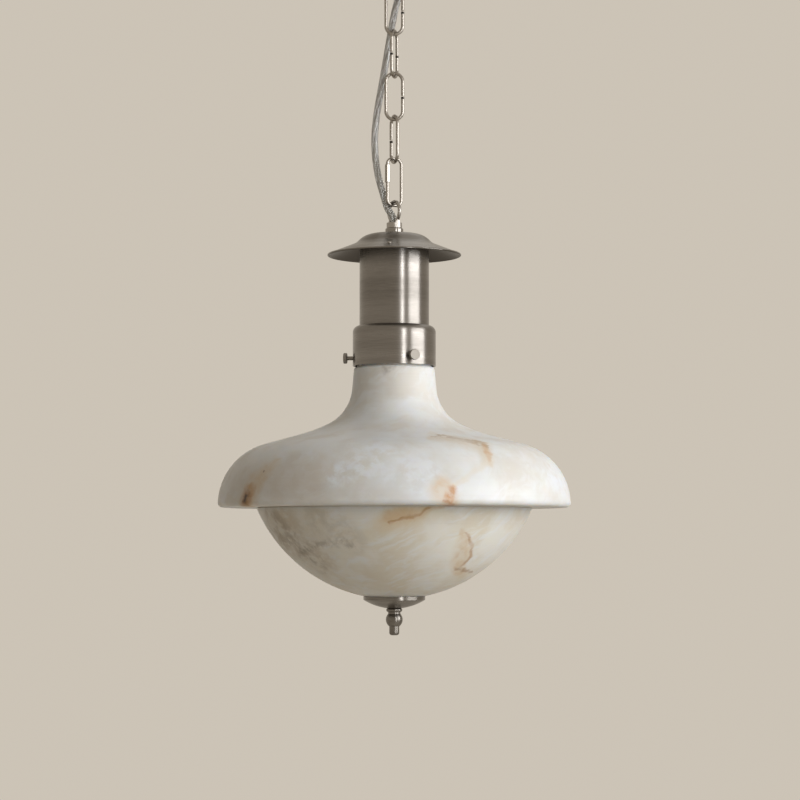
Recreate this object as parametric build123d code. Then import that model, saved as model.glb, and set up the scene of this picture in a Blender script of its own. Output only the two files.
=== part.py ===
from build123d import *
import math
import os

# Pendant light: an alabaster shade and bowl on a brushed nickel neck, hung by a chain from a ceiling rose.
# Millimetres. The origin is on the ceiling, on the pendant's axis. +Z is up and the light hangs down from it.
# X is to the right and Y goes away from whoever faces the light.

# Fits
link_gap = 0.3
run_gap = 0.05
loose_gap = 0.3
seat_gap = 0.02

# Ceiling fitting
rose_d = 105.0
rose_h = 28.0
rose_edge_r = 20.0
sheet = 1.2
strap_l = 88.0
strap_w = 16.0
strap_t = 2.0
strap_drop = 9.0
strap_rise_l = 8.0
screw_spacing = 70.0
screw_hole_d = 4.6
pipe_d = 10.0
pipe_bore_d = 8.0
nut_af = 15.0
nut_h = 5.0
nut_crown = 1.0
pipe_stand = 1.0
terminal_size = (26.0, 12.0, 12.0)
terminal_y = -24.0
terminal_hole_d = 3.0
terminal_hole_h = 4.8

# Ring loops
loop_wire_d = 3.7
loop_ring_r = 9.9
loop_base_d = 15.4
loop_base_h = 9.5
loop_sink = 2.5
loop_base_round = 1.0
loop_mouth_d = 12.0
loop_mouth_h = 4.0
ceiling_loop_yaw = 90.0
pendant_loop_yaw = -58.0

# Chain
link_l = 50.0
link_w = 20.0
link_wire_d = 3.3
link_slit = 1.0
link_yaws = (0.0, 71.0, 0.0, 112.0)
slit_sides = (1, -1, 1, 1)

# Quick link
quick_l = 50.0
quick_w = 19.1
quick_wire_d = 3.1
quick_corner_r = 6.0
quick_yaw = 30.0
quick_mouth = 8.0
sleeve_l = 18.0
sleeve_af = 4.8
sleeve_round_d = 5.4
sleeve_edge = 0.5

# Cord
cord_d = 7.0
cord_seat = 3.5
cord_way = (
    (10.0, 14.4, 0.0),
    (10.0, 14.4, 0.067),
    (0.9, 6.2, 0.175),
    (-5.0, 6.3, 0.302),
    (-11.2, 6.2, 0.444),
    (-17.8, 5.0, 0.578),
    (-20.4, 3.8, 0.687),
    (-17.2, 2.8, 0.806),
    (-10.4, 2.2, 0.892),
    (-7.4, 1.9, 0.935),
    (0.0, 0.0, 0.976),
    (0.0, 0.0, 1.0),
)
cord_arc_share = 0.45
grip_d = 14.0
grip_h = 6.0
grip_plate_h = 2.0
bush_d = 9.0
ledge = 1.0

# Cap
collar_d = 18.0
collar_h = 5.9
collar_round = 1.2
cap_flat_r = 20.5
dome_r = 21.0
dome_angle = 48.0
cove_r = 14.0
brim_angle = 21.5
brim_d = 133.6
bead_d = 2.0
cap_screw_at_r = 53.0
cap_screw_az = -95.0
cap_screw_d = 2.4
cap_screw_head_d = 4.2
cap_screw_head_h = 1.4
cap_screw_round = 0.8
cap_screw_l = 3.6

# Neck tube and gallery
tube_d = 69.4
tube_plate_drop = 7.3
tube_l = 84.5
gallery_d = 82.8
gallery_h = 40.3
gallery_t = 1.5
thumb_drop = 32.0
thumb_az = (-66.0, 54.0, 174.0)
thumb_d = 4.0
thumb_head_d = 10.6
thumb_head_t = 3.4
thumb_stand = 6.1
thumb_edge = 0.4
thumb_grooves = 20
thumb_groove = 0.6

# Upper shade
shade_d = 350.0
stone = 9.0
neck_set = 1.1
neck_angle = 4.9
neck_wall = 18.7
flare_r = 43.5
flare_angle = 58.4
slope_r = 150.0
slope_angle = 11.1
shoulder_r = 62.0
rim_wall = 2.5
rim_round = 4.5
neck_round = 3.0
neck_ease_r = 3.2
neck_gap = 1.0
lip_room = 2.9
lip_h = 22.0
lip_wall = 8.0
lip_groove = 0.6
groove_room = 1.0
flange_t = 10.0
flange_reach = 5.6

# Bowl
bowl_r = 148.5
bowl_centre_h = 58.5
felt_t = 1.0
felt_set = 1.0
bowl_hole_d = 14.0
bowl_bush_h = 11.0
bowl_bush_flange_d = 20.0
bowl_bush_flange_h = 2.0

# Finial cup and finial
cup_d = 61.5
cup_lip = 3.4
cup_r = 58.0
cup_flat_r = 9.0
ring_w = 5.0
finial_flange_r = 8.0
finial_flange_h = 4.0
finial_neck_r = 6.2
finial_ball_r = 8.4
finial_ball_drop = 11.5
finial_tip_r = 5.0
finial_l = 27.0
finial_round = 2.6
finial_bore_l = 14.0
rod_d = 6.0
rod_short = 1.0

# Lamps
hub_drop = 76.9
hub_r = 20.0
hub_h = 22.0
hub_skirt = 8.0
hub_socket = 10.0
rod_socket = 7.0
lamp_tilt = 45.0
lamp_az = (30.0, 150.0, 270.0)
holder_spigot_d = 10.0
holder_spigot_l = 5.0
holder_back_r = 10.0
holder_r = 13.5
holder_front_r = 12.0
holder_back_l = 8.0
holder_mid_l = 18.0
holder_l = 42.0
holder_bore_d = 14.6
holder_bore_l = 30.0
bulb_cap_d = 14.0
bulb_cap_l = 24.0
bulb_cap_edge = 1.5
bulb_tip_d = 5.0
bulb_tip_l = 2.0
bulb_neck_r = 9.5
bulb_r = 22.5
bulb_neck_l = 10.0
bulb_stand = 1.0
bulb_glass = 1.2
lead_d = 2.2
lead_spread = 1.2


def sine(angle):
    """Sine of an angle in degrees."""
    return math.sin(math.radians(angle))


def cosine(angle):
    """Cosine of an angle in degrees."""
    return math.cos(math.radians(angle))


# Outlines that follow from the sizes above
thumb_head_r = gallery_d / 2 + thumb_stand
neck_r = gallery_d / 2 - neck_set
lip_r = gallery_d / 2 - gallery_t - lip_room
lip_bore_r = lip_r - lip_wall
flare_end = neck_angle + flare_angle
shade_fall = flare_end + slope_angle
flare_out = neck_r + neck_wall * sine(neck_angle) + flare_r * (cosine(neck_angle) - cosine(flare_end))
slope_out = flare_out + slope_r * (cosine(flare_end) - cosine(shade_fall))
ramp_l = (shade_d / 2 - shoulder_r * (1 - cosine(shade_fall)) - slope_out) / sine(shade_fall)
neck_h = neck_round + neck_wall * cosine(neck_angle) + flare_r * (sine(flare_end) - sine(neck_angle))
slope_h = slope_r * (sine(shade_fall) - sine(flare_end)) + ramp_l * cosine(shade_fall)
shade_h = neck_h + slope_h + shoulder_r * sine(shade_fall) + rim_wall
bowl_in_r = bowl_r - stone
bowl_rim_r = math.sqrt(bowl_r**2 - bowl_centre_h**2)
bowl_rim_in_r = math.sqrt(bowl_in_r**2 - bowl_centre_h**2)
flange_r = bowl_rim_in_r - flange_reach

# Heights that follow from the sizes above
link_wire_l = link_l - link_wire_d
quick_wire_l = quick_l - quick_wire_d
ceiling_base_z = -rose_h
ceiling_ring_z = ceiling_base_z - loop_base_h + loop_sink - loop_ring_r
loop_link_step = (loop_wire_d + link_wire_d) / 2 + link_gap
link_step = link_wire_d + link_gap
link_quick_step = (link_wire_d + quick_wire_d) / 2 + link_gap
quick_loop_step = (quick_wire_d + loop_wire_d) / 2 + link_gap
link_tops = [ceiling_ring_z - loop_ring_r + loop_link_step]
for _ in link_yaws[1:]:
    link_tops.append(link_tops[-1] - link_wire_l + link_step)
quick_top = link_tops[-1] - link_wire_l + link_quick_step
pendant_ring_z = quick_top - quick_wire_l + quick_loop_step - loop_ring_r
pendant_base_z = pendant_ring_z - loop_ring_r + loop_sink - loop_base_h
cord_top_z = grip_h - rose_h
cord_end_z = pendant_base_z + cord_seat
cord_points = [(x, y, cord_top_z + share * (cord_end_z - cord_top_z)) for x, y, share in cord_way]
cap_z = pendant_base_z - collar_h
tube_z = cap_z - tube_plate_drop
gallery_z = tube_z - tube_l
gallery_bottom = gallery_z - gallery_h
thumb_z = gallery_z - thumb_drop
shade_z = gallery_bottom - neck_gap
rim_z = shade_z - shade_h
hub_z = shade_z - hub_drop
felt_z = rim_z - felt_t
bowl_z = felt_z + bowl_centre_h
cup_lip_z = bowl_z - math.sqrt(bowl_r**2 - (cup_d / 2 - sheet) ** 2)
cup_arc_z = cup_lip_z - cup_lip
cup_centre_z = cup_arc_z + math.sqrt(cup_r**2 - (cup_d / 2) ** 2)
finial_z = cup_centre_z - math.sqrt(cup_r**2 - cup_flat_r**2)
rod_end = finial_z - finial_bore_l + rod_short


def turned(*edges):
    """Solid turned about the vertical axis from a closed outline given as radius and height."""
    face = Plane.XZ * make_face(Curve() + [*edges])
    return revolve(face, Axis.Z)


def outline(*points):
    """Straight-sided outline through points of radius and height, closed back to the first."""
    return Polyline(*points, close=True)


def disc(radius, top, height, bore=0.0):
    """Round disc that hangs down from a height, with a bore where one is given."""
    body = Pos(0, 0, top - height / 2) * Cylinder(radius, height)
    if bore:
        body -= Pos(0, 0, top - height / 2) * Cylinder(bore, height)
    return body


def hex_nut(top, height, bore):
    """Hexagonal nut that hangs down from a height, with its corners turned off."""
    prism = extrude(RegularPolygon(nut_af / 2, 6, major_radius=False), height)
    corner = nut_af / math.sqrt(3) + loose_gap
    flat = nut_af / 2
    low = [(0, 0), (flat, 0), (corner, nut_crown)]
    high = [(corner, height - nut_crown), (flat, height), (0, height)]
    crown = turned(outline(*low, *high))
    return Pos(0, 0, top - height) * ((prism & crown) - Pos(0, 0, height / 2) * Cylinder(bore, height))


def along(azimuth, tilt, radius, height):
    """Plane whose Z points outward at an azimuth, tilted down from level, from a point beside the axis."""
    a = math.radians(azimuth)
    t = math.radians(tilt)
    start = (radius * math.cos(a), radius * math.sin(a), height)
    out = (math.cos(a) * math.cos(t), math.sin(a) * math.cos(t), -math.sin(t))
    return Plane(origin=start, x_dir=(-math.sin(a), math.cos(a), 0), z_dir=out)


def wire_ring(path, diameter):
    """Round wire bent along a closed path."""
    section = Plane(path @ 0, z_dir=path % 0) * Circle(diameter / 2)
    return sweep(section, path)


# Ceiling fitting


def ceiling_strap():
    """Bent steel strap with a screw hole in each pad and the pipe's hole in its lowered middle."""
    pad = strap_l / 2
    rise = screw_spacing / 2 - strap_w / 2
    low = rise - strap_rise_l
    half = [(pad, 0), (rise, 0), (low, -strap_drop)]
    under = [(low - strap_t / 2, -strap_drop - strap_t), (rise - strap_t / 2, -strap_t), (pad, -strap_t)]
    left = [(-x, z) for x, z in half]
    left_under = [(-x, z) for x, z in under]
    side = half + left[::-1] + left_under[::-1] + under
    profile = Plane.XZ * make_face(Polyline(*side, close=True))
    body = extrude(profile, strap_w / 2, both=True)
    for x in (-screw_spacing / 2, screw_spacing / 2):
        body -= Pos(x, 0, 0) * Cylinder(screw_hole_d / 2, 2 * strap_drop)
    return body - Cylinder(pipe_d / 2 + run_gap, 4 * strap_drop)


def ceiling_nipple():
    """Hollow threaded pipe that carries the loop under the strap."""
    top = -strap_drop + nut_h + pipe_stand
    length = top - ceiling_base_z + loop_base_h - grip_h
    return disc(pipe_d / 2, top, length, pipe_bore_d / 2)


def ceiling_nuts():
    """Two nuts that clamp the strap and one that clamps the rose."""
    bore = pipe_d / 2 + run_gap
    over = hex_nut(-strap_drop + nut_h, nut_h, bore)
    under = hex_nut(-strap_drop - strap_t, nut_h, bore)
    rose = hex_nut(-rose_h + sheet + nut_h, nut_h, bore)
    return Compound(children=[over, under, rose])


def rose_cup(inset):
    """Filled cup of the rose, drawn in by an inset."""
    r = rose_d / 2 - inset
    low = -rose_h + inset
    bend = rose_edge_r - inset
    base = Line((0, low), (r - bend, low))
    edge = JernArc(base @ 1, base % 1, bend, 90)
    return turned(base, edge, Polyline(edge @ 1, (r, 0), (0, 0), (0, low)))


def ceiling_rose():
    """Spun cup that covers the strap and the wiring, open towards the ceiling."""
    body = rose_cup(0) - rose_cup(sheet)
    x, y, _ = cord_points[0]
    body -= Pos(0, 0, -rose_h) * Cylinder(pipe_d / 2 + run_gap, 4 * sheet)
    return body - Pos(x, y, -rose_h) * Cylinder(grip_d / 2 - grip_plate_h + run_gap, 4 * sheet)


def cord_grip():
    """Nylon bush in the rose, with a ledge on which the cord ends."""
    x, y, _ = cord_points[0]
    under = -rose_h
    stem = disc(grip_d / 2 - grip_plate_h, cord_top_z + ledge, cord_top_z + ledge - under)
    flange = disc(grip_d / 2, under, grip_plate_h)
    bore = disc(cord_d / 2 + run_gap, cord_top_z, grip_h + rose_h)
    wires = disc(cord_d / 2 - ledge, cord_top_z + ledge, ledge)
    return Pos(x, y, 0) * (stem + flange - bore - wires)


def terminal_block():
    """Small terminal block that stands on the rose's floor."""
    length, width, height = terminal_size
    floor = -rose_h + sheet
    body = Pos(0, terminal_y, floor + height / 2) * Box(length, width, height)
    for x in (-length / 3, 0, length / 3):
        wire_way = Pos(x, terminal_y, floor + terminal_hole_h) * Rot(90, 0, 0)
        body -= wire_way * Cylinder(terminal_hole_d / 2, width)
        body -= Pos(x, terminal_y, floor + height) * Cylinder(terminal_hole_d / 2, height)
    return body


def ring_loop(bore_l):
    """Cast ring that stands on a hollow base, with the base's foot at the origin."""
    ring_z = loop_base_h - loop_sink + loop_ring_r
    ring = Pos(0, 0, ring_z) * Rot(90, 0, 0) * Torus(loop_ring_r, loop_wire_d / 2)
    foot = extrude(Circle(loop_base_d / 2), loop_base_h)
    foot = fillet(foot.edges().group_by(Axis.Z)[-1], loop_base_round)
    body = ring + foot
    body -= Pos(0, 0, bore_l / 2) * Cylinder(pipe_d / 2 + run_gap, bore_l)
    bush_r = bush_d / 2 + run_gap
    foot_z = loop_base_h - loop_mouth_h
    mouth_r = loop_mouth_d / 2
    mouth = outline((0, bore_l), (bush_r, bore_l), (bush_r, foot_z), (mouth_r, loop_base_h), (0, loop_base_h))
    clear = 2 * loop_sink
    return body - turned(mouth) - Pos(0, 0, loop_base_h + clear / 2) * Cylinder(mouth_r, clear)


def ceiling_loop():
    """Loop screwed on the nipple under the rose, ring downward."""
    turn = Rot(0, 0, ceiling_loop_yaw) * Rot(180, 0, 0)
    return Pos(0, 0, ceiling_base_z) * turn * ring_loop(loop_base_h - grip_h)


# Chain


def link_plane(yaw, height):
    """Upright plane through the axis at a yaw, with its origin at a height."""
    a = math.radians(yaw)
    level = (math.cos(a), math.sin(a), 0)
    return Plane(origin=(0, 0, height), x_dir=level, z_dir=(math.sin(a), -math.cos(a), 0))


def chain_link(index):
    """Oval link of bent wire with the butt joint open on one leg."""
    bend = (link_w - link_wire_d) / 2
    leg = link_wire_l / 2 - bend
    right = Line((bend, -leg), (bend, leg))
    over = JernArc(right @ 1, right % 1, bend, 180)
    left = Line(over @ 1, (-bend, -leg))
    under = JernArc(left @ 1, left % 1, bend, 180)
    middle = link_tops[index] - link_wire_l / 2
    place = link_plane(link_yaws[index], middle)
    body = wire_ring(place * Wire([right, over, left, under]), link_wire_d)
    cut = Pos(slit_sides[index] * bend, 0, 0) * Box(2 * link_wire_d, link_slit, 2 * link_wire_d)
    return body - place * cut


def quick_link():
    """Long link with square shoulders and a mouth in one leg that the sleeve closes."""
    x = (quick_w - quick_wire_d) / 2
    y = quick_wire_l / 2
    path = FilletPolyline((x, -y), (x, y), (-x, y), (-x, -y), radius=quick_corner_r, close=True)
    place = link_plane(quick_yaw, quick_top - y)
    body = wire_ring(place * path, quick_wire_d)
    mouth = Pos(-x, sleeve_middle(), 0) * Box(2 * quick_wire_d, quick_mouth, 2 * quick_wire_d)
    return body - place * mouth


def sleeve_middle():
    """Height of the closed sleeve's middle above the middle of the quick link."""
    return quick_wire_l / 2 - quick_corner_r - loose_gap - sleeve_l / 2


def quick_link_sleeve():
    """Hexagonal sleeve screwed over the mouth of the quick link."""
    x = (quick_w - quick_wire_d) / 2
    body = extrude(RegularPolygon(sleeve_af / 2, 6, major_radius=False), sleeve_l / 2, both=True)
    round_bar = Cylinder(sleeve_round_d / 2, sleeve_l)
    round_bar = chamfer(round_bar.edges().filter_by(GeomType.CIRCLE), sleeve_edge)
    body = (body & round_bar) - Cylinder(quick_wire_d / 2 + run_gap, sleeve_l)
    place = link_plane(quick_yaw, quick_top - quick_wire_l / 2)
    return place * Pos(-x, sleeve_middle(), 0) * Rot(90, 0, 0) * body


# Cord


def cord_radii():
    """Bend radius at each inner point, from the shorter of the two runs that meet there."""
    spots = [Vector(*p) for p in cord_points]
    radii = []
    for before, here, after in zip(spots, spots[1:], spots[2:]):
        turn = math.radians((here - before).get_angle(after - here))
        shorter = min((here - before).length, (after - here).length)
        radii.append(cord_arc_share * shorter / math.tan(turn / 2))
    return radii


def supply_cord():
    """Round cord that leaves the rose, hangs beside the chain and enters the pendant's loop."""
    radii = cord_radii()
    path = FilletPolyline(*cord_points, radius=radii)
    body = sweep(Plane(path @ 0, z_dir=path % 0) * Circle(cord_d / 2), path)
    print("cord bend radii", [round(r) for r in radii], "length", round(path.length, 1))
    section = math.pi * cord_d**2 / 4
    print("cord volume", round(body.volume), "section by length", round(section * path.length))
    return body


def pendant_bush():
    """Nylon bush in the loop's base, with a ledge on which the cord ends."""
    foot = cord_end_z - ledge
    top = pendant_base_z + loop_base_h - loop_mouth_h
    body = disc(bush_d / 2, top, top - foot, cord_d / 2 + run_gap)
    return body + disc(bush_d / 2, foot + ledge, ledge, cord_d / 2 - ledge)


# Neck


def hanging_loop():
    """Loop at the head of the pendant, ring upward."""
    return Pos(0, 0, pendant_base_z) * Rot(0, 0, pendant_loop_yaw) * ring_loop(cord_seat - ledge)


def loop_collar():
    """Turned collar between the loop and the cap."""
    body = disc(collar_d / 2, pendant_base_z, collar_h, pipe_d / 2 + run_gap)
    rim = body.edges().filter_by(GeomType.CIRCLE).sort_by(SortBy.RADIUS)[-2:]
    return fillet(rim, collar_round)


def cap_curve(inset):
    """Half outline of the cap's sheet from the axis to the brim, moved into the sheet by an inset."""
    flat = Line((0, cap_z - inset), (cap_flat_r, cap_z - inset))
    dome = JernArc(flat @ 1, flat % 1, dome_r - inset, -dome_angle)
    cove = JernArc(dome @ 1, dome % 1, cove_r + inset, dome_angle - brim_angle)
    out = brim_d / 2 - bead_d / 2 - (cove @ 1).X
    brim = Line(cove @ 1, (cove @ 1) + (cove % 1) * (out / math.cos(math.radians(brim_angle))))
    return flat, dome, cove, brim


def neck_cap():
    """Spun cap with a domed crown and a sloping brim that ends in a rolled bead."""
    top = cap_curve(0)
    under = cap_curve(sheet)
    edge = Line(top[-1] @ 1, under[-1] @ 1)
    axis = Line(under[0] @ 0, top[0] @ 0)
    body = turned(*top, edge, *under, axis)
    middle = edge @ 0.5
    bead = turned(Pos(middle.X, middle.Y) * Edge.make_circle(bead_d / 2))
    body += bead
    body -= Pos(0, 0, cap_z) * Cylinder(pipe_d / 2 + run_gap, 4 * sheet)
    return body - cap_screw_place() * Cylinder(cap_screw_d / 2 + run_gap, 6 * sheet)


def cap_screw_place():
    """Plane on the brim's upper face where the small screw sits, with Z out of the metal."""
    brim = cap_curve(0)[-1]
    share = (cap_screw_at_r - (brim @ 0).X) / ((brim @ 1).X - (brim @ 0).X)
    spot = brim @ share
    a = math.radians(cap_screw_az)
    slope = math.radians(brim_angle)
    out = (math.cos(a) * math.sin(slope), math.sin(a) * math.sin(slope), math.cos(slope))
    return Plane(origin=(spot.X * math.cos(a), spot.X * math.sin(a), spot.Y), z_dir=out)


def cap_screw():
    """Small round-headed screw in the brim."""
    head = Pos(0, 0, cap_screw_head_h / 2) * Cylinder(cap_screw_head_d / 2, cap_screw_head_h)
    head = fillet(head.edges().group_by(Axis.Z)[-1], cap_screw_round)
    shank = Pos(0, 0, -cap_screw_l / 2) * Cylinder(cap_screw_d / 2, cap_screw_l)
    return cap_screw_place() * (head + shank)


def neck_tube():
    """Drawn tube, closed at the top by a plate with the stem's hole."""
    body = disc(tube_d / 2, tube_z, tube_l)
    body -= disc(tube_d / 2 - sheet, tube_z - sheet, tube_l)
    return body - Pos(0, 0, tube_z) * Cylinder(pipe_d / 2 + run_gap, 4 * sheet)


def gallery_cup(inset, extra):
    """Filled cup of the gallery, drawn in by an inset and run on below by an extra length."""
    r = gallery_d / 2 - inset
    bend = (gallery_d - tube_d) / 2 - inset
    top = gallery_z - inset
    plate = Line((0, top), (r - bend, top))
    edge = JernArc(plate @ 1, plate % 1, bend, -90)
    foot = gallery_bottom - extra
    return turned(plate, edge, Polyline(edge @ 1, (r, foot), (0, foot), (0, top)))


def gallery():
    """Drawn cup that takes the neck of the shade, with three tapped holes."""
    body = gallery_cup(0, 0) - gallery_cup(gallery_t, gallery_t)
    for azimuth in thumb_az:
        body -= along(azimuth, 0, gallery_d / 2, thumb_z) * Cylinder(thumb_d / 2 + run_gap, 6 * gallery_t)
    return body - Pos(0, 0, gallery_z) * Cylinder(pipe_d / 2 + run_gap, 4 * gallery_t)


def thumbscrew(azimuth):
    """Thumbscrew with a milled disc head, its tip against the lip of the shade."""
    tip = lip_r - lip_groove + loose_gap
    shank = extrude(Circle(thumb_d / 2), thumb_head_r - tip)
    head = Pos(0, 0, thumb_head_r - tip) * extrude(Circle(thumb_head_d / 2), thumb_head_t)
    head = chamfer(head.edges(), thumb_edge)
    for turn in range(thumb_grooves):
        spot = Rot(0, 0, turn * 360 / thumb_grooves) * Pos(thumb_head_d / 2, 0, thumb_head_r - tip)
        head -= spot * Rot(0, 0, 45) * Box(thumb_groove, thumb_groove, 4 * thumb_head_t)
    return along(azimuth, 0, tip, thumb_z) * (shank + head)


def stem():
    """Hollow threaded pipe from the loop to the lamp hub."""
    top = cord_end_z - ledge
    return disc(pipe_d / 2, top, top - hub_z + hub_socket, pipe_bore_d / 2)


def stem_nuts():
    """Nut under the cap's crown and nut under the gallery's plate."""
    bore = pipe_d / 2 + run_gap
    upper = hex_nut(cap_z - sheet, tube_plate_drop - sheet, bore)
    lower = hex_nut(gallery_z - gallery_t, nut_h, bore)
    return Compound(children=[upper, lower])


# Alabaster


def shade_curve(inset):
    """Half outline of the shade from the neck to its widest line, moved into the stone by an inset."""
    start = Vector(neck_r - inset * cosine(neck_angle), shade_z - neck_round - inset * sine(neck_angle))
    wall = Line(start, start + Vector(sine(neck_angle), -cosine(neck_angle)) * neck_wall)
    flare = JernArc(wall @ 1, wall % 1, flare_r + inset, flare_angle)
    slope = JernArc(flare @ 1, flare % 1, slope_r + inset, slope_angle)
    ramp = Line(slope @ 1, (slope @ 1) + (slope % 1) * ramp_l)
    shoulder = JernArc(ramp @ 1, ramp % 1, shoulder_r - inset, -shade_fall)
    return wall, flare, slope, ramp, shoulder


def upper_shade():
    """Turned alabaster shade: lip for the gallery, swept neck, broad shoulder and a flat ring underneath."""
    out = shade_curve(0)
    hollow = shade_curve(stone)
    wide = shade_d / 2
    lip_top = shade_z + lip_h
    top = Polyline((lip_bore_r, lip_top), (lip_r, lip_top), (lip_r, shade_z))
    ease = RadiusArc(top @ 1, out[0] @ 0, neck_ease_r)
    foot = out[-1] @ 1
    rim = Polyline(foot, (wide, rim_z), (flange_r, rim_z), (flange_r, rim_z + flange_t),
                   (wide - stone, rim_z + flange_t), hollow[-1] @ 1)
    close = Polyline(hollow[0] @ 0, (lip_bore_r, (hollow[0] @ 0).Y), (lip_bore_r, lip_top))
    body = turned(top, ease, *out, rim, *hollow, close)
    edge = body.edges().filter_by(GeomType.CIRCLE).group_by(Axis.Z)[0].sort_by(SortBy.RADIUS)[-1]
    body = fillet(edge, rim_round)
    groove_h = thumb_d + 2 * groove_room
    groove = disc(lip_r + groove_room, thumb_z + groove_h / 2, groove_h, lip_r - lip_groove)
    return body - groove


def bowl_ball(radius):
    """Part of a ball about the bowl's centre that lies under the rim."""
    ball = Pos(0, 0, bowl_z) * Sphere(radius)
    return split(ball, Plane.XY.offset(felt_z), keep=Keep.BOTTOM)


def bowl():
    """Turned alabaster bowl, part of a ball, with a hole at the bottom for the rod's bush."""
    body = bowl_ball(bowl_r) - bowl_ball(bowl_in_r)
    return body - Pos(0, 0, bowl_z - bowl_r) * Cylinder(bowl_hole_d / 2, 4 * stone)


def rim_felt():
    """Felt ring glued on the bowl's rim, which meets the flat ring of the shade."""
    return disc(bowl_rim_r - felt_set, rim_z, felt_t, bowl_rim_in_r + felt_set)


def bowl_bush():
    """Nylon bush that keeps the rod in the middle of the bowl's hole."""
    top = bowl_z - math.sqrt(bowl_in_r**2 - (bowl_bush_flange_d / 2) ** 2) + seat_gap
    sleeve = disc(bowl_hole_d / 2 - run_gap, top, bowl_bush_h)
    flange = disc(bowl_bush_flange_d / 2, top + bowl_bush_flange_h, bowl_bush_flange_h)
    bore = disc(rod_d / 2 + loose_gap, top + bowl_bush_flange_h, bowl_bush_h + bowl_bush_flange_h)
    return sleeve + flange - bore


# Finial


def cup_curve(inset):
    """Half outline of the finial cup from the axis to its lip, moved into the sheet by an inset."""
    r = cup_d / 2 - inset
    floor = finial_z + inset
    ball = cup_r - inset
    flat_r = math.sqrt(ball**2 - (cup_centre_z - floor) ** 2)
    start = cup_centre_z - math.sqrt(ball**2 - r**2)
    flat = Line((0, floor), (flat_r, floor))
    side = RadiusArc(flat @ 1, (r, start), -ball)
    lip = Line(side @ 1, (r, cup_lip_z))
    return flat, side, lip


def finial_cup():
    """Spun cup that carries the bowl."""
    out = cup_curve(0)
    hollow = cup_curve(sheet)
    body = turned(*out, Line(out[-1] @ 1, hollow[-1] @ 1), *hollow, Line(hollow[0] @ 0, out[0] @ 0))
    return body - Pos(0, 0, finial_z) * Cylinder(rod_d / 2 + loose_gap, 6 * sheet)


def finial_ring():
    """Rubber ring between the finial cup and the bowl."""
    outer = cup_d / 2 - sheet - run_gap
    body = disc(outer, cup_lip_z + sheet, 4 * cup_lip, outer - ring_w)
    flat, side, lip = cup_curve(sheet + seat_gap)
    room = turned(flat, side, lip, Polyline(lip @ 1, (0, cup_lip_z), flat @ 0))
    return (body & room) - Pos(0, 0, bowl_z) * Sphere(bowl_r + seat_gap)


def finial():
    """Turned finial: flange, neck, ball and round-ended tip, bored from above for the rod."""
    top = finial_z
    ball_z = top - finial_ball_drop
    neck_z = ball_z + math.sqrt(finial_ball_r**2 - finial_neck_r**2)
    tip_z = ball_z - math.sqrt(finial_ball_r**2 - finial_tip_r**2)
    end = top - finial_l
    flange_z = top - finial_flange_h
    bulge = (finial_flange_r, top - finial_flange_h / 2)
    flange = ThreePointArc((finial_neck_r, top), bulge, (finial_neck_r, flange_z))
    ball = ThreePointArc((finial_neck_r, neck_z), (finial_ball_r, ball_z), (finial_tip_r, tip_z))
    side = Line((finial_tip_r, tip_z), (finial_tip_r, end + finial_round))
    nose = JernArc(side @ 1, side % 1, finial_round, -90)
    body = turned(Line((0, top), flange @ 0), flange, Line(flange @ 1, ball @ 0), ball, side, nose,
                  Polyline(nose @ 1, (0, end), (0, top)))
    return body - disc(rod_d / 2 + run_gap, top, finial_bore_l)


def finial_rod():
    """Threaded rod from the lamp hub through the bowl to the finial."""
    top = hub_z - hub_h + rod_socket
    return disc(rod_d / 2, top, top - rod_end)


# Lamps


def lamp_place(index):
    """Plane on the hub's slanted seat for one lampholder, with Z along the lamp."""
    azimuth = lamp_az[index]
    middle_r = hub_r - (hub_h - hub_skirt) / 2
    middle_z = hub_z - hub_skirt - (hub_h - hub_skirt) / 2
    return along(azimuth, lamp_tilt, middle_r, middle_z)


def lamp_hub():
    """Turned brass hub with a socket for the stem, one for the rod and three slanted seats."""
    drop = hub_h - hub_skirt
    foot = hub_z - hub_h
    skirt = (hub_r, hub_z - hub_skirt)
    body = turned(outline((0, hub_z), (hub_r, hub_z), skirt, (hub_r - drop, foot), (0, foot)))
    for index in range(len(lamp_az)):
        place = lamp_place(index)
        body -= place * Pos(0, 0, hub_r) * Box(4 * hub_r, 4 * hub_r, 2 * hub_r)
        spigot = Cylinder(holder_spigot_d / 2 + run_gap, holder_spigot_l)
        body -= place * Pos(0, 0, -holder_spigot_l / 2) * spigot
    body -= disc(pipe_d / 2 + run_gap, hub_z, hub_socket)
    return body - disc(rod_d / 2 + run_gap, foot + rod_socket, rod_socket)


def lampholder(index):
    """Lampholder with a spigot in the hub and a deep socket for the bulb's cap."""
    mid = holder_back_l + holder_mid_l
    spigot_r = holder_spigot_d / 2
    spigot = [(0, -holder_spigot_l), (spigot_r, -holder_spigot_l), (spigot_r, 0)]
    back = [(holder_back_r, 0), (holder_r, holder_back_l), (holder_r, mid)]
    front = [(holder_front_r, mid), (holder_front_r, holder_l), (0, holder_l)]
    body = turned(outline(*spigot, *back, *front))
    body -= Pos(0, 0, holder_l - holder_bore_l / 2) * Cylinder(holder_bore_d / 2, holder_bore_l)
    return lamp_place(index) * body


def bulb_cap(index):
    """Screw cap of a bulb with its contact."""
    top = holder_l + bulb_stand
    body = Pos(0, 0, top - bulb_cap_l / 2) * Cylinder(bulb_cap_d / 2, bulb_cap_l)
    body = chamfer(body.edges().group_by(Axis.Z)[0], bulb_cap_edge)
    body += Pos(0, 0, top - bulb_cap_l - bulb_tip_l / 2) * Cylinder(bulb_tip_d / 2, bulb_tip_l)
    return lamp_place(index) * body


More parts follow.
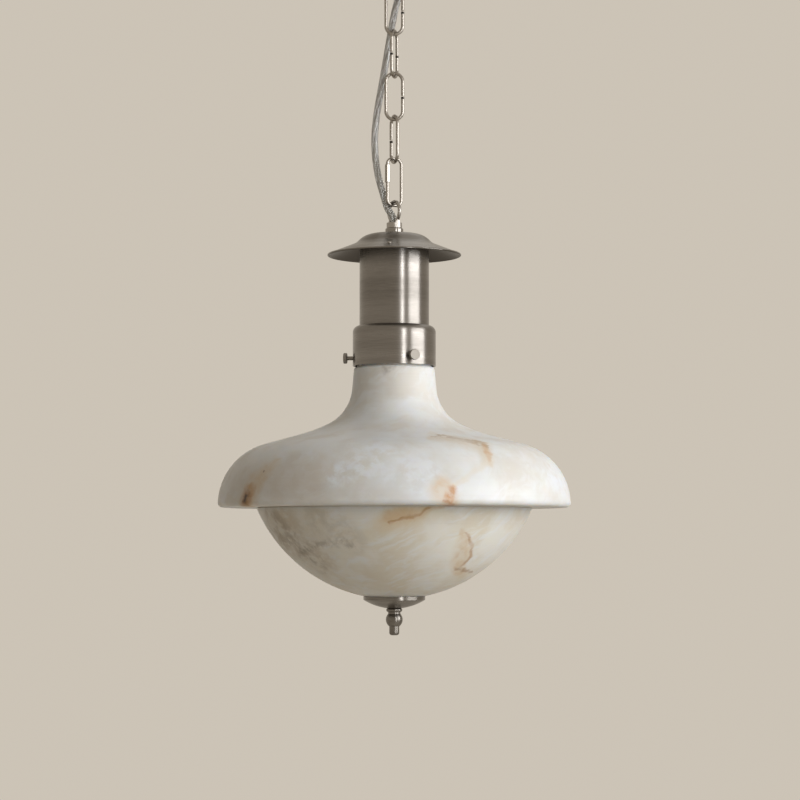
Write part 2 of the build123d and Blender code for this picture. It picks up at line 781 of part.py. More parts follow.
def filled_globe(inset):
    """Filled globe with its neck, drawn in by an inset but for the open foot."""
    foot = holder_l + bulb_stand
    centre = foot + bulb_neck_l + math.sqrt(bulb_r**2 - bulb_neck_r**2)
    r = bulb_r - inset
    neck = bulb_neck_r - inset
    side = Polyline((0, foot), (neck, foot), (neck, centre - math.sqrt(r**2 - neck**2)))
    ball = ThreePointArc(side @ 1, (r, centre), (0, centre + r))
    return turned(side, ball, Line(ball @ 1, side @ 0))


def bulb_globe(index):
    """Blown glass globe of a bulb, with its open neck on the screw cap."""
    return lamp_place(index) * (filled_globe(0) - filled_globe(bulb_glass))


def lamp_leads():
    """Two insulated leads inside the stem."""
    top = cord_end_z
    foot = hub_z - hub_socket
    wires = [Pos(x, 0, 0) * disc(lead_d / 2, top, top - foot) for x in (-lead_spread, lead_spread)]
    return Compound(children=wires)


os.makedirs("parts", exist_ok=True)
nodes = {
    "ceiling_strap": ceiling_strap(),
    "ceiling_nipple": ceiling_nipple(),
    "ceiling_nuts": ceiling_nuts(),
    "ceiling_rose": ceiling_rose(),
    "cord_grip": cord_grip(),
    "terminal_block": terminal_block(),
    "ceiling_loop": ceiling_loop(),
    "quick_link": quick_link(),
    "quick_link_sleeve": quick_link_sleeve(),
    "supply_cord": supply_cord(),
    "pendant_bush": pendant_bush(),
    "hanging_loop": hanging_loop(),
    "loop_collar": loop_collar(),
    "neck_cap": neck_cap(),
    "cap_screw": cap_screw(),
    "neck_tube": neck_tube(),
    "gallery": gallery(),
    "stem": stem(),
    "stem_nuts": stem_nuts(),
    "upper_shade": upper_shade(),
    "bowl": bowl(),
    "rim_felt": rim_felt(),
    "bowl_bush": bowl_bush(),
    "finial_cup": finial_cup(),
    "finial_ring": finial_ring(),
    "finial": finial(),
    "finial_rod": finial_rod(),
    "lamp_hub": lamp_hub(),
    "lamp_leads": lamp_leads(),
}
for index in range(len(link_yaws)):
    nodes[f"chain_link_{index + 1}"] = chain_link(index)
for index, azimuth in enumerate(thumb_az):
    nodes[f"thumbscrew_{index + 1}"] = thumbscrew(azimuth)
for index in range(len(lamp_az)):
    nodes[f"lampholder_{index + 1}"] = lampholder(index)
    nodes[f"bulb_cap_{index + 1}"] = bulb_cap(index)
    nodes[f"bulb_globe_{index + 1}"] = bulb_globe(index)
for name, solid in nodes.items():
    export_step(solid, f"parts/{name}.step")
print("height", round(-(finial_z - finial_l), 1), "hub", round(hub_z, 1), "rim", round(rim_z, 1))
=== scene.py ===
import bmesh
import bpy
import math
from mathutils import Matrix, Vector


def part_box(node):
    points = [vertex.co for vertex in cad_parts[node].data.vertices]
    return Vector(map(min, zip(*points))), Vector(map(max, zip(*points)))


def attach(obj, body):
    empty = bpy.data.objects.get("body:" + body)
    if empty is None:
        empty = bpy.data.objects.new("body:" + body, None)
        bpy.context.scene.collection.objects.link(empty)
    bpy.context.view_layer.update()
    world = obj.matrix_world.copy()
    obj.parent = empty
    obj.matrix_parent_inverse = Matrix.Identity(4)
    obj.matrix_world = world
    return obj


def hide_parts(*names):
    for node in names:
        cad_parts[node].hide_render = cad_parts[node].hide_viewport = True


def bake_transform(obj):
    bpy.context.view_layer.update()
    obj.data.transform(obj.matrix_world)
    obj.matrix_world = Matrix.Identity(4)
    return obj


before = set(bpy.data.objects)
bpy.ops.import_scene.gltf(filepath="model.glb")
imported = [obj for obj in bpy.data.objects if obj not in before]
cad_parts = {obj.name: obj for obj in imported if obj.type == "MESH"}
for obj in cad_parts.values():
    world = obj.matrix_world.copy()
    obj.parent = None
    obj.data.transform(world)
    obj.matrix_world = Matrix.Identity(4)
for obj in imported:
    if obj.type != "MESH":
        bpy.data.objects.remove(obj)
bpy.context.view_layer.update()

# Camera
# The light is seen from a little below its middle, from straight in front and two paces away,
# so the undersides of the cap and the shade just show.
camera_at = Vector((0.0057, -2.352, -0.609))
camera_rise = math.radians(2.6)


def put(name, data):
    """Adds an object to the scene."""
    made = bpy.data.objects.new(name, data)
    bpy.context.scene.collection.objects.link(made)
    return made


camera = put("camera", bpy.data.cameras.new("camera"))
camera.data.lens = 106.45
camera.data.sensor_width = 36.0
camera.data.shift_y = 0.0464
camera.location = camera_at
camera.rotation_euler = (math.pi / 2 + camera_rise, 0, 0)
bpy.context.scene.camera = camera

# Supply cord
# Flexible round lead: three cores of tinned copper braid twisted together in a clear PVC sheath. It comes
# out of the grip in the rose, hangs beside the chain and goes into the loop at the pendant's head.
cord_d = 0.007
cord_route = (
    (0.0100, 0.0144, -0.0220),
    (0.0100, 0.0144, -0.0400),
    (0.0009, 0.0062, -0.0689),
    (-0.0050, 0.0063, -0.1029),
    (-0.0112, 0.0062, -0.1410),
    (-0.0178, 0.0050, -0.1769),
    (-0.0204, 0.0038, -0.2061),
    (-0.0172, 0.0028, -0.2380),
    (-0.0104, 0.0022, -0.2611),
    (-0.0074, 0.0019, -0.2726),
    (0.0000, 0.0000, -0.2836),
    (0.0000, 0.0000, -0.2900),
)
core_d = 0.0029
core_off = 0.00165
core_twist = 0.090
sheath_sides = 24
core_sides = 14
cord_bodies = ("ceiling", "link_1", "link_2", "link_3", "link_4", "quick_link", "pendant")


def linear(colour):
    """Linear colour of an sRGB hex value."""
    parts = [int(colour[i:i + 2], 16) / 255 for i in (1, 3, 5)]
    return [c / 12.92 if c <= 0.04045 else ((c + 0.055) / 1.055) ** 2.4 for c in parts] + [1.0]


def feed(tree, socket, value):
    """Sets a socket to a value, or links it to an output or to a node's first output in use."""
    if isinstance(value, bpy.types.Node):
        value = next(output for output in value.outputs if output.enabled)
    if isinstance(value, bpy.types.NodeSocket):
        tree.links.new(value, socket)
    else:
        socket.default_value = value


def node(tree, kind, inputs=None, **settings):
    """Adds a node with its settings, and feeds its inputs."""
    made = tree.nodes.new(kind)
    for name, value in settings.items():
        setattr(made, name, value)
    for key, value in (inputs or {}).items():
        feed(tree, made.inputs[key], value)
    return made


def material_of(name, **sockets):
    """New material whose shader has these constant values, with its tree and the shader's sockets."""
    made = bpy.data.materials.new(name)
    made.use_nodes = True
    shader = made.node_tree.nodes["Principled BSDF"]
    for key, value in sockets.items():
        shader.inputs[key.replace("_", " ")].default_value = value
    return made, made.node_tree, shader.inputs


# A Mix node has its two colours at these places among its inputs.
mix_from, mix_to = 6, 7

# Clear plasticised PVC, extruded: glossy and a little cloudy, with long draw marks.
clear_pvc, tree, shader = material_of("clear_pvc_extruded", IOR=1.53, Transmission_Weight=1.0)
uv = node(tree, "ShaderNodeUVMap", uv_map="along")
stretched = node(tree, "ShaderNodeMapping", {"Vector": uv, "Scale": (9.0, 60.0, 1.0)})
marks = node(tree, "ShaderNodeTexNoise", {"Vector": stretched, "Scale": 1.0, "Detail": 3.0})
haze = {"Value": marks, "To Min": 0.02, "To Max": 0.12}
feed(tree, shader["Roughness"], node(tree, "ShaderNodeMapRange", haze))
tints = {0: marks, mix_from: linear("#f2f3f1"), mix_to: linear("#fcfcfa")}
feed(tree, shader["Base Color"], node(tree, "ShaderNodeMix", tints, data_type="RGBA"))

# Tinned copper braid: fine bright wires that run along the core with a slow twist. The real wires are 0.2 mm
# thick; they are drawn twice as coarse so that they show.
tinned_braid, tree, shader = material_of("tinned_copper_braid", Metallic=0.1)
uv = node(tree, "ShaderNodeUVMap", uv_map="along")
wires = node(tree, "ShaderNodeMapping", {"Vector": uv, "Rotation": (0, 0, 0.35), "Scale": (20.0, 260.0, 1.0)})
strand = node(tree, "ShaderNodeTexNoise", {"Vector": wires, "Scale": 1.0, "Detail": 2.0})
shine = node(tree, "ShaderNodeMapRange", {"Value": strand, "From Min": 0.35, "From Max": 0.65})
tones = {0: shine, mix_from: linear("#adaba8"), mix_to: linear("#e4e2df")}
feed(tree, shader["Base Color"], node(tree, "ShaderNodeMix", tones, data_type="RGBA"))
polish = {"Value": strand, "To Min": 0.5, "To Max": 0.28}
feed(tree, shader["Roughness"], node(tree, "ShaderNodeMapRange", polish))
relief = {"Strength": 0.3, "Distance": 0.0002, "Height": strand}
feed(tree, shader["Normal"], node(tree, "ShaderNodeBump", relief))


def cord_line():
    """Points along the cord's smooth line, read from a spline whose control points are the route."""
    curve = bpy.data.curves.new("cord_line", "CURVE")
    curve.dimensions = "3D"
    spline = curve.splines.new("NURBS")
    spline.points.add(len(cord_route) - 1)
    for point, spot in zip(spline.points, cord_route):
        point.co = (*spot, 1.0)
    spline.order_u = 3
    spline.use_endpoint_u = True
    spline.resolution_u = 24
    holder = bpy.data.objects.new("cord_line", curve)
    mesh = bpy.data.meshes.new_from_object(holder)
    points = [v.co.copy() for v in mesh.vertices]
    bpy.data.objects.remove(holder)
    bpy.data.curves.remove(curve)
    bpy.data.meshes.remove(mesh)
    return points


def frames_along(points):
    """Tangent and two cross directions at each point, carried along without twist."""
    tangents = []
    for index in range(len(points)):
        before = points[max(index - 1, 0)]
        after = points[min(index + 1, len(points) - 1)]
        tangents.append((after - before).normalized())
    side = tangents[0].orthogonal().normalized()
    found = []
    for tangent in tangents:
        side = (side - tangent * side.dot(tangent)).normalized()
        found.append((side, tangent.cross(side)))
    return found


def tube_rings(points, frames, run, first, last, radius, off, start, sides):
    """Rings of a tube between two points of the line, beside it by an offset that winds round it."""
    rings = []
    for index in range(first, last + 1):
        turn = start + 2 * math.pi * run[index] / core_twist
        side, cross = frames[index]
        middle = points[index] + (side * math.cos(turn) + cross * math.sin(turn)) * off
        ring = []
        for k in range(sides):
            a = 2 * math.pi * k / sides
            ring.append(middle + (side * math.cos(a) + cross * math.sin(a)) * radius)
        rings.append(ring)
    return rings


def cord_piece(name, points, frames, run, first, last):
    """One length of the cord: three twisted cores in their sheath."""
    verts, faces, uvs, slots = [], [], [], []
    tubes = [(cord_d / 2, 0.0, 0.0, sheath_sides, 0)]
    tubes += [(core_d / 2, core_off, k * 2 * math.pi / 3, core_sides, 1) for k in range(3)]
    for radius, off, start, sides, slot in tubes:
        base = len(verts)
        for ring in tube_rings(points, frames, run, first, last, radius, off, start, sides):
            verts.extend(ring)
        for row in range(last - first):
            for k in range(sides):
                here = base + row * sides
                right = (k + 1) % sides
                faces.append((here + k, here + right, here + sides + right, here + sides + k))
                u, v = k / sides, run[first + row]
                w = run[first + row + 1]
                uvs.extend([(u, v), (u + 1 / sides, v), (u + 1 / sides, w), (u, w)])
                slots.append(slot)
    mesh = bpy.data.meshes.new(name)
    mesh.from_pydata(verts, [], faces)
    layer = mesh.uv_layers.new(name="along")
    for corner, value in zip(layer.data, uvs):
        corner.uv = value
    mesh.materials.append(clear_pvc)
    mesh.materials.append(tinned_braid)
    for face, slot in zip(mesh.polygons, slots):
        face.material_index = slot
        face.use_smooth = True
    return put(name, mesh)


line = cord_line()
line_frames = frames_along(line)
run = [0.0]
for before, after in zip(line, line[1:]):
    run.append(run[-1] + (after - before).length)
lengths = len(cord_bodies) - 1
cuts = [min(range(len(run)), key=lambda i: abs(run[i] - run[-1] * k / lengths)) for k in range(lengths + 1)]
for k, (first, last) in enumerate(zip(cuts, cuts[1:])):
    piece = cord_piece(f"supply_cord_{k + 1}", line, line_frames, run, first, last)
    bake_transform(piece)
    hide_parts("supply_cord")

# Ceiling fitting
# Zinc-plated steel strap, threaded nipple and nuts carry the loop. They sit inside the rose, which is spun
# from brass sheet and nickel plated, and the lead's grip and terminal block are moulded nylon.


def dress(material, *names):
    """Puts a material on CAD nodes."""
    for name in names:
        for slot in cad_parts[name].material_slots:
            slot.material = material


def place_mm(tree):
    """Place on the object in mm."""
    spot = node(tree, "ShaderNodeTexCoord")
    return node(tree, "ShaderNodeVectorMath", {0: spot.outputs["Object"], "Scale": 1000.0}, operation="SCALE")


angle_mm = 0.8
smear_mm = 14.0


def turned_place(tree):
    """Place on a turned piece in mm, as its radius, its height and a little of its angle."""
    axes = node(tree, "ShaderNodeSeparateXYZ", {0: place_mm(tree)})
    flat = node(tree, "ShaderNodeCombineXYZ", {0: axes.outputs[0], 1: axes.outputs[1]})
    radius = node(tree, "ShaderNodeVectorMath", {0: flat}, operation="LENGTH")
    angle = node(tree, "ShaderNodeMath", {0: axes.outputs[1], 1: axes.outputs[0]}, operation="ARCTAN2")
    slow = node(tree, "ShaderNodeMath", {0: angle, 1: angle_mm}, operation="MULTIPLY")
    return node(tree, "ShaderNodeCombineXYZ", {0: radius, 1: axes.outputs[2], 2: slow})


def satin_nickel(name, deep, bright, groove_mm):
    """Nickel plate over turned or spun metal, brushed while it spins, so fine rings stretch each highlight
    upright."""
    made, tree, shader = material_of(name, Metallic=1.0, Anisotropic=0.75, Anisotropic_Rotation=0.25)
    place = turned_place(tree)
    rings = node(tree, "ShaderNodeTexNoise",
                 {"Vector": place, "Scale": 1 / groove_mm, "Detail": 3.0, "Roughness": 0.7})
    smears = node(tree, "ShaderNodeTexNoise", {"Vector": place, "Scale": 1 / smear_mm, "Detail": 2.0})
    both = node(tree, "ShaderNodeMath", {0: rings, 1: smears}, operation="ADD")
    wear = node(tree, "ShaderNodeMapRange", {"Value": both, "From Min": 0.65, "From Max": 1.35})
    tones = {0: wear, mix_from: linear(deep), mix_to: linear(bright)}
    feed(tree, shader["Base Color"], node(tree, "ShaderNodeMix", tones, data_type="RGBA"))
    polish = {"Value": wear, "To Min": 0.36, "To Max": 0.25}
    feed(tree, shader["Roughness"], node(tree, "ShaderNodeMapRange", polish))
    relief = {"Strength": 0.1, "Distance": 0.0001, "Height": rings}
    feed(tree, shader["Normal"], node(tree, "ShaderNodeBump", relief))
    feed(tree, shader["Tangent"], node(tree, "ShaderNodeTangent", direction_type="RADIAL", axis="Z"))
    return made


spun_nickel = satin_nickel("satin_nickel_spun", "#7c7771", "#9d9891", 0.5)


def plain_grain(name, dark, light, grain_mm, rough, relief_mm, **sockets):
    """Plain material with a grain of a real size in its colour, roughness and relief."""
    made, tree, shader = material_of(name, **sockets)
    grain = node(tree, "ShaderNodeTexNoise",
                 {"Vector": place_mm(tree), "Scale": 1 / grain_mm, "Detail": 4.0, "Roughness": 0.6})
    tones = {0: grain, mix_from: linear(dark), mix_to: linear(light)}
    feed(tree, shader["Base Color"], node(tree, "ShaderNodeMix", tones, data_type="RGBA"))
    span = {"Value": grain, "To Min": rough[0], "To Max": rough[1]}
    feed(tree, shader["Roughness"], node(tree, "ShaderNodeMapRange", span))
    relief = {"Strength": 0.4, "Distance": relief_mm / 1000, "Height": grain}
    feed(tree, shader["Normal"], node(tree, "ShaderNodeBump", relief))
    return made


# Bright zinc plate: pale blue-grey steel with a fine crystalline spangle.
zinc_steel = plain_grain("zinc_plated_steel", "#8f9296", "#c4c6c8", 2.5, (0.32, 0.5), 0.02, Metallic=1.0)
# Moulded nylon: milky white, dull, with a fine spark-eroded grain.
white_nylon = plain_grain("moulded_nylon", "#dcd9d0", "#efede6", 0.8, (0.45, 0.6), 0.03)
dress(zinc_steel, "ceiling_strap", "ceiling_nipple", "ceiling_nuts")
dress(white_nylon, "cord_grip", "terminal_block")
dress(spun_nickel, "ceiling_rose")

# Loops
# Cast brass rings on short hollow bases, which are scooped out beside the ring's legs. They are polished,
# nickel plated and left satin. One is screwed under the rose and one stands at the pendant's head, on a turned
# collar and with a nylon bush for the lead.

# Satin nickel on a casting: an even sheen with a soft pebble and no brushed direction.
cast_nickel = plain_grain("satin_nickel_cast", "#8f8a83", "#b3ada6", 1.6, (0.3, 0.42), 0.03, Metallic=1.0)
scoop_line = ((1.9, 10.5), (2.0, 8.4), (2.4, 6.8), (3.2, 5.9), (4.2, 5.6), (9.0, 5.6), (9.0, 10.5))
scoop_reach = 0.012
cast_grid = 0.0003
cast_weld = 1e-6
cast_soft_share = 0.5
cast_soft_rounds = 8
ceiling_yaw = math.radians(90)
pendant_yaw = math.radians(-58)


def scoop_bars(yaw, foot_z, up):
    """Two bars that cut the base down beside the ring's legs. Their outline is given as the distance from the
    ring's plane and the height over the foot, in mm."""
    bars = bmesh.new()
    along = Vector((math.cos(yaw), math.sin(yaw), 0))
    off = Vector((-math.sin(yaw), math.cos(yaw), 0))
    for side in (-1, 1):
        outline = [off * side * y / 1000 + Vector((0, 0, foot_z + up * z / 1000)) for y, z in scoop_line]
        ends = []
        for reach in (-scoop_reach, scoop_reach):
            ends.append([bars.verts.new(spot + along * reach) for spot in outline])
        bars.faces.new(ends[0])
        bars.faces.new(ends[1])
        for k in range(len(outline)):
            bars.faces.new((ends[0][k], ends[0][k - 1], ends[1][k - 1], ends[1][k]))
    bmesh.ops.recalc_face_normals(bars, faces=bars.faces)
    mesh = bpy.data.meshes.new("scoop_bars")
    bars.to_mesh(mesh)
    bars.free()
    return put("scoop_bars", mesh)


def cast_loop(node_name, body, yaw, foot_z, up):
    """A loop as it leaves the mould: the base is scooped out on both sides, so that its wall rises into the
    ring's legs, and all edges are soft."""
    rough = bmesh.new()
    rough.from_mesh(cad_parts[node_name].data)
    bmesh.ops.remove_doubles(rough, verts=rough.verts, dist=cast_weld)
    mesh = bpy.data.meshes.new(node_name + "_cast")
    rough.to_mesh(mesh)
    rough.free()
    piece = put(node_name + "_cast", mesh)
    bars = scoop_bars(yaw, foot_z, up)
    cut = piece.modifiers.new("scoop", "BOOLEAN")
    cut.operation = "DIFFERENCE"
    cut.object = bars
    grid = piece.modifiers.new("grid", "REMESH")
    grid.mode = "VOXEL"
    grid.voxel_size = cast_grid
    soft = piece.modifiers.new("soft", "SMOOTH")
    soft.factor = cast_soft_share
    soft.iterations = cast_soft_rounds
    shaped = piece.evaluated_get(bpy.context.evaluated_depsgraph_get())
    piece.data = bpy.data.meshes.new_from_object(shaped)
    piece.modifiers.clear()
    bpy.data.objects.remove(bars)
    piece.data.materials.clear()
    piece.data.materials.append(cast_nickel)
    for face in piece.data.polygons:
        face.use_smooth = True
    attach(piece, body)
    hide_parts(node_name)


cast_loop("ceiling_loop", "ceiling", ceiling_yaw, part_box("ceiling_loop")[1].z, -1)
cast_loop("hanging_loop", "pendant", pendant_yaw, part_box("hanging_loop")[0].z, 1)
dress(spun_nickel, "loop_collar")
dress(white_nylon, "pendant_bush")

# Chain and quick link
# Links bent from drawn steel wire, butted but not welded, and nickel plated in a barrel. The quick link is
# closed by a hexagonal sleeve that screws over its mouth.

# Barrel-plated wire: bright and smooth, with broad sharp glints.
barrel_nickel = plain_grain("barrel_plated_nickel_wire", "#88827a", "#aea79f", 2.2, (0.2, 0.34), 0.008,
                            Metallic=1.0)

# The wire's two cut ends meet halfway down one leg, and a dark band is painted there as painted shade in the
# joint's gap.
# # Each joint is given by the side it lies on, or 0 for a link seen edge on, and its height in mm.
joint_shade_bands = ((1, -76.3), (0, -119.2), (1, -162.3), (-1, -205.4))
smooth = {"interpolation_type": "SMOOTHSTEP"}
tree = barrel_nickel.node_tree
wire_colour = tree.nodes["Principled BSDF"].inputs["Base Color"]
wire_place = node(tree, "ShaderNodeSeparateXYZ", {0: place_mm(tree)}).outputs
for side, height in joint_shade_bands:
    off = node(tree, "ShaderNodeMath", {0: wire_place[2], 1: height}, operation="SUBTRACT")
    away = node(tree, "ShaderNodeMath", {0: off}, operation="ABSOLUTE")
    band = {"Value": away, "From Min": 0.7, "From Max": 1.3, "To Min": 1.0, "To Max": 0.0}
    near = node(tree, "ShaderNodeMapRange", band, **smooth)
    across = node(tree, "ShaderNodeMath", {0: wire_place[0], 1: side}, operation="MULTIPLY")
    on_leg = node(tree, "ShaderNodeMath", {0: across, 1: -0.5}, operation="GREATER_THAN")
    share = node(tree, "ShaderNodeMath", {0: near, 1: on_leg}, operation="MULTIPLY")
    # Mixes in the band's painted shade.
    tones = {0: share, mix_from: wire_colour.links[0].from_socket, mix_to: linear("#231f1b")}
    feed(tree, wire_colour, node(tree, "ShaderNodeMix", tones, data_type="RGBA"))
dress(barrel_nickel, *(f"chain_link_{k}" for k in (1, 2, 3, 4)), "quick_link", "quick_link_sleeve")

# Cap and neck
# The cap is spun from sheet with a rolled bead at its brim; tube and gallery are drawn. All three are brushed
# on the lathe and nickel plated. The hidden stem and its nuts are zinc-plated steel.
neck_nickel = satin_nickel("satin_nickel_drawn", "#726d67", "#938e88", 0.35)
dress(neck_nickel, "neck_tube", "gallery")
# The cap has the same plate, a little darker. Its downward-facing underside is painted much darker as painted
# shade, and made duller.
cap_nickel = satin_nickel("satin_nickel_cap", "#69645e", "#89847d", 0.5)
tree = cap_nickel.node_tree
cap_shader = tree.nodes["Principled BSDF"].inputs
normal = node(tree, "ShaderNodeTexCoord").outputs["Normal"]
facing = node(tree, "ShaderNodeSeparateXYZ", {0: normal}).outputs[2]
underside_shade = node(tree, "ShaderNodeMapRange", {"Value": facing, "From Min": -0.3, "From Max": -0.75}, **smooth)
# Painted shade on the faces that look down.
plate = cap_shader["Base Color"].links[0].from_socket
tones = {0: underside_shade, mix_from: plate, mix_to: linear("#544f49")}
feed(tree, cap_shader["Base Color"], node(tree, "ShaderNodeMix", tones, data_type="RGBA"))
dulled = {0: underside_shade, "A": cap_shader["Roughness"].links[0].from_socket, "B": 0.45}
feed(tree, cap_shader["Roughness"], node(tree, "ShaderNodeMix", dulled))
dress(cap_nickel, "neck_cap")
# Nickel plate on turned steel, tumbled dull: it shows a broad pale sheen instead of a mirror spot.
tumbled_nickel = plain_grain("tumbled_nickel", "#817b74", "#a39d95", 0.9, (0.46, 0.6), 0.03, Metallic=1.0)
dress(tumbled_nickel, "cap_screw", "thumbscrew_1", "thumbscrew_2", "thumbscrew_3")
dress(zinc_steel, "stem", "stem_nuts")

# Upper shade
# Turned from one block of alabaster to a wall of nine millimetres, sanded and waxed. The stone is a milky
# white gypsum that light goes into, with clouds of clearer crystal and veins stained by iron.
vein_melt = 0.3


def vein_field(tree, place, across, points):
    """How far a place is from a vein over the vein's half width there. The vein goes through points given in
    mm across the light and up, and runs straight through the stone."""
    nearest = None
    spots = [(Vector((across[0] * x, across[1] * x, z)), half) for x, z, half in points]
    for (start, thin), (end, wide) in zip(spots, spots[1:]):
        way = end - start
        reach = node(tree, "ShaderNodeVectorMath", {0: place, 1: start}, operation="SUBTRACT")
        along = way / way.length_squared
        share = node(tree, "ShaderNodeVectorMath", {0: reach, 1: along}, operation="DOT_PRODUCT")
        held = node(tree, "ShaderNodeClamp", {"Value": share})
        foot = node(tree, "ShaderNodeVectorMath", {0: way, "Scale": held}, operation="SCALE")
        off = node(tree, "ShaderNodeVectorMath", {0: reach, 1: foot}, operation="DISTANCE")
        width = node(tree, "ShaderNodeMapRange", {"Value": held, "To Min": thin, "To Max": wide})
        ratio = node(tree, "ShaderNodeMath", {0: off, 1: width}, operation="DIVIDE")
        if nearest is not None:
            ratio = node(tree, "ShaderNodeMath", {0: nearest, 1: ratio, 2: vein_melt}, operation="SMOOTH_MIN")
        nearest = ratio
    return nearest


def shifted(tree, place, size_mm, by_mm, detail):
    """Place pushed about by a noise of a given size and reach, both in mm."""
    noise = node(tree, "ShaderNodeTexNoise", {"Vector": place, "Scale": 1 / size_mm, "Detail": detail})
    middle = (0.5, 0.5, 0.5)
    even = node(tree, "ShaderNodeVectorMath", {0: noise.outputs["Color"], 1: middle}, operation="SUBTRACT")
    push = node(tree, "ShaderNodeVectorMath", {0: even, "Scale": by_mm}, operation="SCALE")
    return node(tree, "ShaderNodeVectorMath", {0: place, 1: push}, operation="ADD")


stone_sides = {"front": ((1, 0, 1), (0, -1, 0)), "back": ((1, 0, 1), (0, 1, 0)),
               "left": ((0, 1, 1), (-1, 0, 0)), "right": ((0, 1, 1), (1, 0, 0))}


# Sizes of the stone's pattern in mm: the clouds, how they drift and how far, the slanted feathers, the turning
# lines, the crystal grain, the coarse and fine tears along a vein and how far they go, and the depth over which
# the marks of one side fade in.
cloud_mm = 46.0
drift_mm, drift_reach = 60.0, 45.0
feather_mm = (34.0, 20.0, 7.0)
feather_slant = (0.3, -0.6, 0.2)
score_mm = 2.2
crystal_mm = 13.0
tear_mm, tear_reach = 24.0, 12.0
nick_mm, nick_reach = 5.0, 4.0
fade_mm = (5.0, 35.0)


def alabaster(name, deep, milk, marks):
    """Waxed alabaster with its clouds, feathers of clear crystal, turning lines, and marks of crystal and
    iron."""
    made, tree, shader = material_of(name, Subsurface_Weight=0.7, Subsurface_Radius=(1.0, 0.84, 0.66),
                                     Subsurface_Scale=0.012, IOR=1.52)
    place = place_mm(tree)
    drifted = shifted(tree, place, drift_mm, drift_reach, 3.0)
    clouds = node(tree, "ShaderNodeTexNoise",
                  {"Vector": drifted, "Scale": 1 / cloud_mm, "Detail": 6.0, "Roughness": 0.55})
    milky = node(tree, "ShaderNodeMapRange", {"Value": clouds, "From Min": 0.36, "From Max": 0.6}, **smooth)
    tones = {0: milky, mix_from: linear(deep), mix_to: linear(milk)}
    colour = node(tree, "ShaderNodeMix", tones, data_type="RGBA")
    slant = {"Vector": drifted, "Rotation": feather_slant, "Scale": feather_mm}
    slanted = node(tree, "ShaderNodeMapping", slant, vector_type="TEXTURE")
    feathers = node(tree, "ShaderNodeTexNoise",
                    {"Vector": slanted, "Scale": 1.0, "Detail": 5.0, "Roughness": 0.6})
    frosted = {"Value": feathers, "From Min": 0.48, "From Max": 0.68, "To Min": 0.0, "To Max": 0.55}
    frost = node(tree, "ShaderNodeMapRange", frosted, **smooth)
    tones = {0: frost, mix_from: colour, mix_to: linear("#f7f6f4")}
    colour = node(tree, "ShaderNodeMix", tones, data_type="RGBA")
    lines = node(tree, "ShaderNodeTexNoise",
                 {"Vector": turned_place(tree), "Scale": 1 / score_mm, "Detail": 3.0})
    scored = {"Value": lines, "From Min": 0.5, "From Max": 0.72, "To Min": 0.0, "To Max": 0.05}
    scores = node(tree, "ShaderNodeMapRange", scored, **smooth)
    tones = {0: scores, mix_from: colour, mix_to: linear("#bdb5aa")}
    colour = node(tree, "ShaderNodeMix", tones, data_type="RGBA")
    torn = shifted(tree, place, tear_mm, tear_reach, 2.0)
    torn = shifted(tree, torn, nick_mm, nick_reach, 3.0)
    crystal = node(tree, "ShaderNodeTexNoise",
                   {"Vector": torn, "Scale": 1 / crystal_mm, "Detail": 5.0, "Roughness": 0.6})
    for side, (across, out) in stone_sides.items():
        depth = node(tree, "ShaderNodeVectorMath", {0: place, 1: out}, operation="DOT_PRODUCT")
        fade = {"Value": depth, "From Min": fade_mm[0], "From Max": fade_mm[1]}
        seen = node(tree, "ShaderNodeMapRange", fade, **smooth)
        flat = node(tree, "ShaderNodeVectorMath", {0: torn, 1: across}, operation="MULTIPLY")
        for tone, strength, grain, points in marks[side]:
            vein = vein_field(tree, flat, across, points)
            stain = {"Value": vein, "From Min": 0.15, "From Max": 1.0, "To Min": strength, "To Max": 0.0}
            inside = node(tree, "ShaderNodeMapRange", stain, **smooth)
            broken = {"Value": crystal, "From Min": 0.38, "From Max": 0.62,
                      "To Min": 1.0 - grain, "To Max": 1.0 + 0.4 * grain}
            speckle = node(tree, "ShaderNodeMapRange", broken, **smooth)
            share = node(tree, "ShaderNodeMath", {0: inside, 1: speckle}, operation="MULTIPLY")
            share = node(tree, "ShaderNodeMath", {0: share, 1: seen}, operation="MULTIPLY", use_clamp=True)
            tones = {0: share, mix_from: colour, mix_to: linear(tone)}
            colour = node(tree, "ShaderNodeMix", tones, data_type="RGBA")
    feed(tree, shader["Base Color"], colour)
    polish = {"Value": clouds, "From Min": 0.3, "From Max": 0.7, "To Min": 0.5, "To Max": 0.38}
    feed(tree, shader["Roughness"], node(tree, "ShaderNodeMapRange", polish))
    relief = node(tree, "ShaderNodeBump", {"Strength": 0.08, "Distance": 0.0004, "Height": clouds})
    scratches = {"Strength": 0.05, "Distance": 0.0002, "Height": lines, "Normal": relief}
    feed(tree, shader["Normal"], node(tree, "ShaderNodeBump", scratches))
    return made


